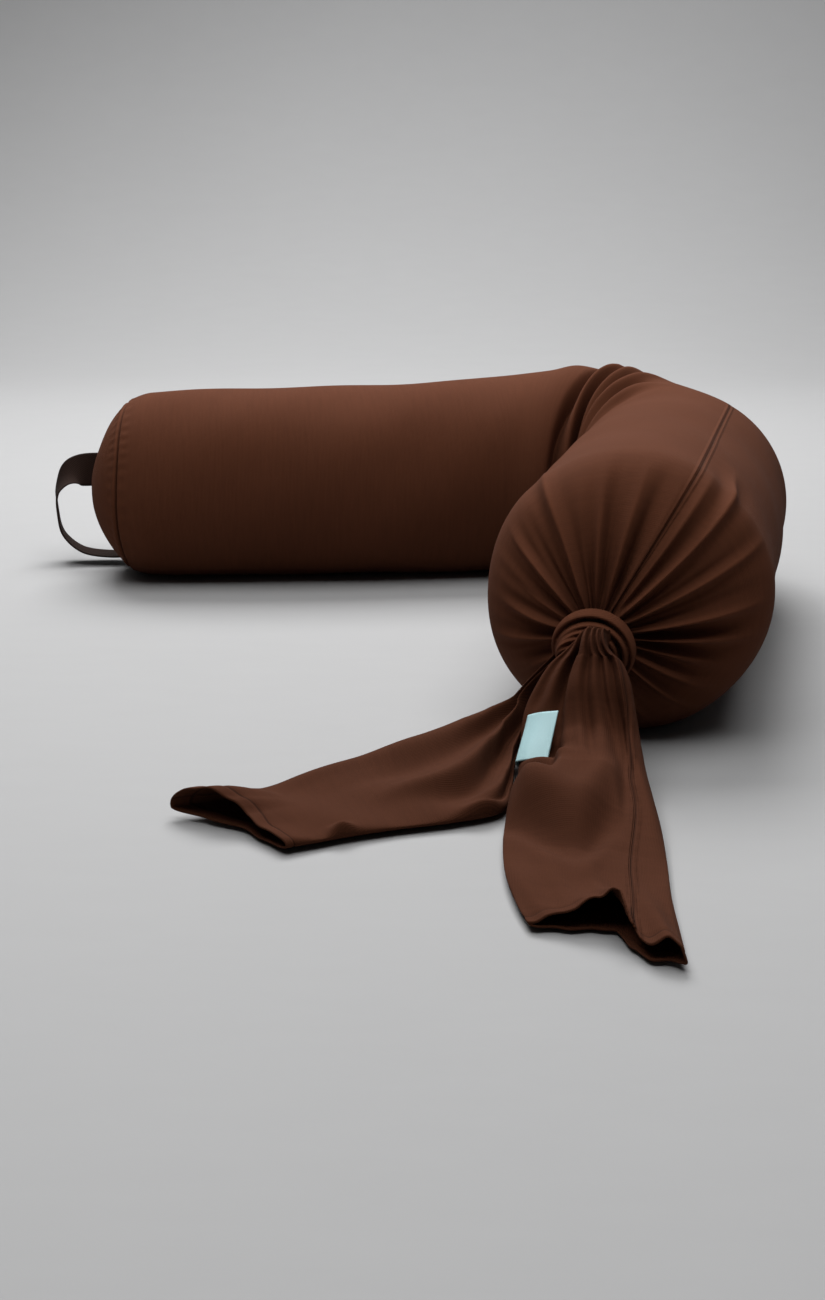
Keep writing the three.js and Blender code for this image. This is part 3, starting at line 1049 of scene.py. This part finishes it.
def front_skin(share, place, top):
    """Folds that run down from the knot, a bulge beside the label, and the arched hem."""
    upper = smooth(top, -0.2, 0.45)
    s = share
    # The right-hand lobe lies over the left one near the knot.
    lap = 1 - smooth(s, 0.26, 0.42)
    lift = 0.0110 * lap * smooth(place, -0.27, -0.18) * smooth(s, 0.02, 0.10)
    lift -= 0.0080 * lap * bell(place + 0.33, 0.10)
    lift += 0.0045 * bell(place + 0.52, 0.13) * (1 - smooth(s, 0.30, 0.40))
    lift -= 0.0030 * bell(place + 0.76, 0.10) * (1 - smooth(s, 0.28, 0.38))
    # Pleats of the right-hand lobe.
    fade = 1 - smooth(s, 0.42, 0.62)
    for at, drift, deep, width in (
        (0.14, 0.12, 0.0040, 0.075),
        (0.46, 0.16, 0.0052, 0.070),
        (0.70, 0.06, 0.0038, 0.060),
    ):
        off = place - at - drift * smooth(s, 0.15, 0.5)
        lift -= deep * fade * bell(off, width)
        lift += 0.0028 * fade * bell(off + 0.14, 0.09)
    lift += 0.0050 * bell(place - 0.88, 0.12) * (1 - smooth(s, 0.55, 0.8))
    # The bump below the label, the bulge at the left, and where the cloth meets the floor.
    line = s - 0.53 - 0.05 * place
    lift += 0.0080 * bell(line, 0.026) * bell(place + 0.55, 0.42)
    lift -= 0.0060 * bell(line + 0.055, 0.024) * bell(place + 0.50, 0.36)
    lift += 0.0110 * bell(s - 0.62, 0.060) * bell(place + 0.62, 0.42)
    meet = through(place, [(-1, 0.71), (-0.1, 0.765), (0.45, 0.69), (0.7, 0.60), (1, 0.55)])
    left = smooth(place, -0.1, -0.4)
    hill = smooth(s, 0.20 + 0.33 * left, 0.54 + 0.11 * left) * smooth(meet - s, 0.02, 0.12)
    lift += 0.0130 * hill * smooth(place, 0.8, 0.3) * smooth(place, -1.0, -0.7)
    lift -= 0.0045 * bell(s - meet, 0.030) * smooth(place, 0.75, 0.1)
    lift += 0.0060 * bell(s - meet + 0.075, 0.050) * smooth(place, 0.75, 0.2)
    lift += 0.0020 * bell(s - meet - 0.045, 0.025) * smooth(place, 0.9, 0.0)
    # Soft unevenness where it lies flat.
    flat = smooth(s, 0.74, 0.82)
    lift += 0.0014 * flat * np.sin(34 * s + 4.0 * place + 0.6)
    lift += 0.0010 * flat * np.sin(13 * place - 22 * s)
    # The hem rises to an arch beside the seam.
    arch = through(
        place,
        [(-1, 0.001), (-0.7, 0.003), (-0.35, 0.008), (0.0, 0.019), (0.16, 0.027), (0.25, 0.026),
         (0.33, 0.011), (0.45, 0.005), (0.75, 0.011), (0.93, 0.008), (1, 0.002)],
    )
    reach = smooth(s, 0.80, 0.985) ** 1.4
    lift += arch * reach
    return lift * upper


def front_cut(place):
    return through(
        place,
        [(-1, 0.985), (-0.5, 0.962), (0.0, 0.938), (0.22, 0.932), (0.34, 0.972), (0.55, 0.995),
         (0.8, 0.985), (1, 0.99)],
    )


def front_seam(share):
    return through(
        share, [(0, 0.98), (0.3, 0.93), (0.45, 0.84), (0.6, 0.72), (0.8, 0.55), (1, 0.39)]
    )


SIDE_EDGES = [
    # the edge towards the closed arm, then the other, in the same way
    ((14, -44, 84), (20, -30, 78)),
    ((16, -60, 64), (28, -48, 54)),
    ((20, -76, 44), (48, -60, 28)),
    ((36, -98, 36), (90, -65, 12)),
    ((60, -117, 33), (138, -60, 6)),
    ((80, -134, 29), (182, -60, 6)),
    ((100, -156, 24), (208, -88, 6)),
    ((130, -189, 17), (231, -125, 6)),
    ((165, -219, 13), (251, -153, 6)),
    ((197, -249, 11), (268, -173, 6)),
    ((232, -298, 9), (285, -193, 6)),
]
SIDE_THICK = [(0, 0.013), (0.25, 0.018), (0.5, 0.015), (1, 0.010)]


def side_skin(share, place, top):
    """Long soft folds, the rippled front edge and the open mouth."""
    upper = smooth(top, -0.2, 0.45)
    s = share
    near = 1 - smooth(s, 0.55, 0.85)
    lift = -0.0065 * bell(place + 0.42 - 0.25 * smooth(s, 0.4, 0.9), 0.22) * near
    lift += 0.0055 * bell(place + 0.80, 0.20) * (1 - smooth(s, 0.7, 0.95))
    ridge = place + 0.02 - 0.30 * smooth(s, 0.42, 0.62)
    lift += 0.0100 * bell(ridge, 0.17) * (1 - smooth(s, 0.58, 0.74))
    lift -= 0.0060 * bell(ridge - 0.34, 0.16) * (1 - smooth(s, 0.52, 0.66))
    lift += 0.0045 * bell(place - 0.70, 0.10) * (1 - smooth(s, 0.45, 0.60))
    lift -= 0.0040 * bell(place - 0.84, 0.05) * (1 - smooth(s, 0.45, 0.60))
    lift += 0.0012 * np.sin(30 * s + 3.5 * place) * smooth(s, 0.5, 0.7)
    # Two ripples of the front edge.
    edge = smooth(place, 0.72, 0.97)
    lift += edge * (0.0100 * bell(s - 0.54, 0.045) + 0.0085 * bell(s - 0.83, 0.034))
    # The mouth's upper lip.
    lip = through(
        place,
        [(-1, 0.006), (-0.75, 0.013), (-0.45, 0.017), (-0.2, 0.012), (0.1, 0.005), (0.5, 0.002),
         (1, 0.002)],
    )
    lift += lip * smooth(s, 0.84, 0.99)
    return lift * upper


def side_cut(place):
    return through(place, [(-1, 1.0), (-0.5, 0.985), (0.0, 0.97), (0.5, 0.985), (1, 1.0)])


class PILLOW_OT_ties(bpy.types.Operator):
    """Adds the two hollow tie tails"""

    bl_idname = "pillow.ties"
    bl_label = "Tie tails"

    def execute(self, context):
        for name, edges, thick, skin, cut, seam, body, node in (
            (
                "tie_front",
                FRONT_EDGES,
                FRONT_THICK,
                front_skin,
                front_cut,
                front_seam,
                "front_tail",
                "tie_tail_front",
            ),
            (
                "tie_side",
                SIDE_EDGES,
                SIDE_THICK,
                side_skin,
                side_cut,
                lambda share: -0.96 + 0 * share,
                "side_tail",
                "tie_tail_side",
            ),
        ):
            points, places, share = tail_grid(edges, thick, skin, cut, seam)
            # The tails get the same jersey painted 0.68 times as dark: painted shade where they
            # lie on the floor in front of the pillow.
            jersey = jersey_material(f"jersey_{name}", 0.0, 0.68)
            made = cloth_tube(name, points, places, 0.0013, jersey)
            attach(made, body)
            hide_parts(node)
        return {"FINISHED"}


class PILLOW_OT_carrying_loop(bpy.types.Operator):
    """Adds the webbing loop in the seam of the closed end"""

    bl_idname = "pillow.carrying_loop"
    bl_label = "Carrying loop"

    def execute(self, context):
        spine = Spine()
        x, y, _ = (float(v) for v in spine.at(spine.closed_tip))

        def at(out, back, height):
            return np.array([x - out, y + back, height])

        route = [
            at(-0.042, 0.092, 0.105),
            at(-0.026, 0.091, 0.1055),
            at(0.006, 0.086, 0.107),
            at(0.042, 0.077, 0.104),
            at(0.058, 0.068, 0.084),
            at(0.058, 0.059, 0.058),
            at(0.050, 0.051, 0.034),
            at(0.028, 0.046, 0.016),
            at(-0.006, 0.046, 0.010),
            at(-0.030, 0.047, 0.012),
            at(-0.044, 0.048, 0.018),
        ]
        path, run = curve_through(route, 160)
        share = run / run[-1]
        way = way_along(path)
        turned = smooth(share, 0.12, 0.52)[:, None]
        level = np.array([-0.18, 0.98, 0.0])
        across = UP * (1 - turned) + level * turned
        across -= way * np.einsum("ij,ij->i", across, way)[:, None]
        across /= np.linalg.norm(across, axis=1, keepdims=True)
        face = np.cross(way, across)
        half, thick = 0.020, 0.0011
        flat = np.linspace(-1, 1, 25)
        upper = np.stack([flat * half, np.full(25, thick)], -1)
        upper[[0, -1], 1] = thick * 0.3
        outline = np.concatenate([upper, upper[::-1] * [1, -1]])
        points = swept(path, across, face, np.repeat(outline[None], len(path), 0))
        cup = 0.0008 * (outline[:, 0] / half) ** 2
        points += face[:, None, :] * cup[None, :, None]
        places = np.stack(np.broadcast_arrays(run[:, None], outline[None, :, 0]), -1)
        edge = smooth(np.abs(outline[:, 0]), 0.0165, 0.0190)[None, :] + 0 * run[:, None]
        made = grid_object(
            "carrying_strap", points, places, caps=(True, True), marks={"seam": edge}
        )
        dress(made, webbing_material())
        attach(made, "loop")
        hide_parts("carrying_loop")
        return {"FINISHED"}


class PILLOW_OT_label(bpy.types.Operator):
    """Adds the folded label at the edge of the front tie"""

    bl_idname = "pillow.label"
    bl_label = "Label"

    def execute(self, context):
        here = Spine().by_knot
        root = here(0.081, -0.030, 0.052)
        along = here(0.112, -0.033, 0.022) - root
        along /= np.linalg.norm(along)
        out = here(0.090, -0.053, 0.030) - root
        out -= along * (out @ along)
        out /= np.linalg.norm(out)
        up = -np.cross(along, out)
        root = root + up * 0.0075
        reach, bulge, length = 0.031, 0.0048, 0.044
        t = np.linspace(0, 1, 60)
        bend = np.clip((t - 0.42) / 0.16, 0, 1) * math.pi
        straight = reach - bulge
        x = straight * np.clip(np.minimum(t, 1 - t) / 0.42, 0, 1) + bulge * 0.7 * np.sin(bend)
        rows = np.linspace(0, length, 30)
        swell = bulge * (0.06 + 0.94 * smooth(x, 0.0, 0.020))
        gape = 0.30 + 0.70 * smooth(rows, 0, length)
        y = swell[None, :] * np.cos(bend)[None, :] * gape[:, None]
        points = (
            root
            + along * rows[:, None, None]
            + out * (x + 0 * t)[None, :, None]
            + up * y[..., None]
        )
        droop = -0.004 * (x / reach) ** 2
        points += up * droop[None, :, None]
        arc = np.concatenate([[0], np.cumsum(np.hypot(np.diff(x), np.diff(y[-1])))])
        places = np.stack(np.broadcast_arrays(rows[:, None], arc[None, :]), -1)
        edge = 1 - smooth(np.minimum(rows, length - rows), 0.0006, 0.0016)
        marks = {"seam": edge[:, None] + 0 * arc[None, :]}
        made = grid_object("folded_label", points, places, loop=False, marks=marks)
        shell = made.modifiers.new("thickness", "SOLIDIFY")
        shell.thickness = 0.0007
        shell.offset = 0
        apply_modifiers(made)
        dress(made, label_material())
        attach(made, "label")
        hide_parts("care_label")
        return {"FINISHED"}


# ---- studio -------------------------------------------------------------------------------


class PILLOW_OT_studio(bpy.types.Operator):
    """Adds the floor, the lights and the camera"""

    bl_idname = "pillow.studio"
    bl_label = "Studio"

    def execute(self, context):
        set_floor()
        set_lights()
        set_camera()
        return {"FINISHED"}


def set_floor():
    """A pale floor that curves up into a backdrop far behind the pillow."""
    near, start, radius = -6, 1.9, 1.6
    flat = np.linspace(near, start, 40)
    turn = np.linspace(0, math.pi / 2, 24)[1:]
    curve = start + radius * np.sin(turn)
    y = np.concatenate([flat, curve, [curve[-1]] * 8])
    z = np.concatenate([0 * flat, radius * (1 - np.cos(turn)), radius + np.linspace(0.3, 4, 8)])
    x = np.linspace(-6, 6, 30)
    points = np.stack(np.broadcast_arrays(x[None, :], y[:, None], z[:, None]), -1)
    made = grid_object("floor", points, points[..., :2], loop=False)
    made.data.materials.append(floor_material())


def area_light(name, place, target, size, power, colour=(1, 1, 1)):
    light = bpy.data.lights.new(name, "AREA")
    light.shape = "RECTANGLE"
    light.size, light.size_y = size
    light.energy = power
    light.color = colour
    made = bpy.data.objects.new(name, light)
    made.location = place
    aim = Vector(target) - Vector(place)
    made.rotation_euler = aim.to_track_quat("-Z", "Y").to_euler()
    bpy.context.scene.collection.objects.link(made)


def set_lights():
    s = studio()
    area_light("key", (-0.5, 1.5, 2.5), (-0.2, 0.1, 0.0), (2.2, 1.6), s.key)
    area_light("overhead", (-0.3, -0.8, 2.8), (-0.3, -0.6, 0.0), (3.0, 2.4), s.key * 0.64)
    area_light("backdrop", (0.3, 1.2, 2.9), (0.3, 4.0, 1.4), (3.6, 1.0), s.key * 0.27)
    world = bpy.data.worlds.new("soft_room")
    world.use_nodes = True
    background = world.node_tree.nodes["Background"]
    background.inputs["Color"].default_value = (1, 1, 1, 1)
    background.inputs["Strength"].default_value = s.fill
    bpy.context.scene.world = world
    bpy.context.scene.view_settings.view_transform = "Standard"


CAMERA_SPOT = (-0.238, -2.068)


def set_camera():
    s = studio()
    camera = bpy.data.cameras.new("camera")
    camera.sensor_fit = "VERTICAL"
    camera.sensor_height = 36.0
    camera.lens = s.focal
    made = bpy.data.objects.new("camera", camera)
    made.location = (*CAMERA_SPOT, s.camera_height)
    made.rotation_euler = (math.pi / 2 - s.camera_pitch, 0, 0)
    bpy.context.scene.collection.objects.link(made)
    bpy.context.scene.camera = made


# ---- add-on -------------------------------------------------------------------------------

STEPS = (
    PILLOW_OT_studio,
    PILLOW_OT_cover,
    PILLOW_OT_filling,
    PILLOW_OT_knot,
    PILLOW_OT_ties,
    PILLOW_OT_label,
    PILLOW_OT_carrying_loop,
)


class PILLOW_PT_panel(bpy.types.Panel):
    """Lists the pillow's pieces in the 3D view's sidebar"""

    bl_idname = "PILLOW_PT_panel"
    bl_label = "Nursing Pillow"
    bl_space_type = "VIEW_3D"
    bl_region_type = "UI"
    bl_category = "Pillow"

    def draw(self, context):
        for step in STEPS:
            self.layout.operator(step.bl_idname)


GROUPS = {
    "pillow_shape": PillowShape,
    "pillow_cloth": PillowCloth,
    "pillow_studio": PillowStudio,
}


def register():
    for kind in (*GROUPS.values(), *STEPS, PILLOW_PT_panel):
        bpy.utils.register_class(kind)
    for name, kind in GROUPS.items():
        setattr(bpy.types.Scene, name, PointerProperty(type=kind))


def unregister():
    for name in GROUPS:
        delattr(bpy.types.Scene, name)
    for kind in reversed((*GROUPS.values(), *STEPS, PILLOW_PT_panel)):
        bpy.utils.unregister_class(kind)


def main():
    register()
    for step in STEPS:
        group, name = step.bl_idname.split(".")
        getattr(getattr(bpy.ops, group), name)()


if __name__ == "__main__":
    main()
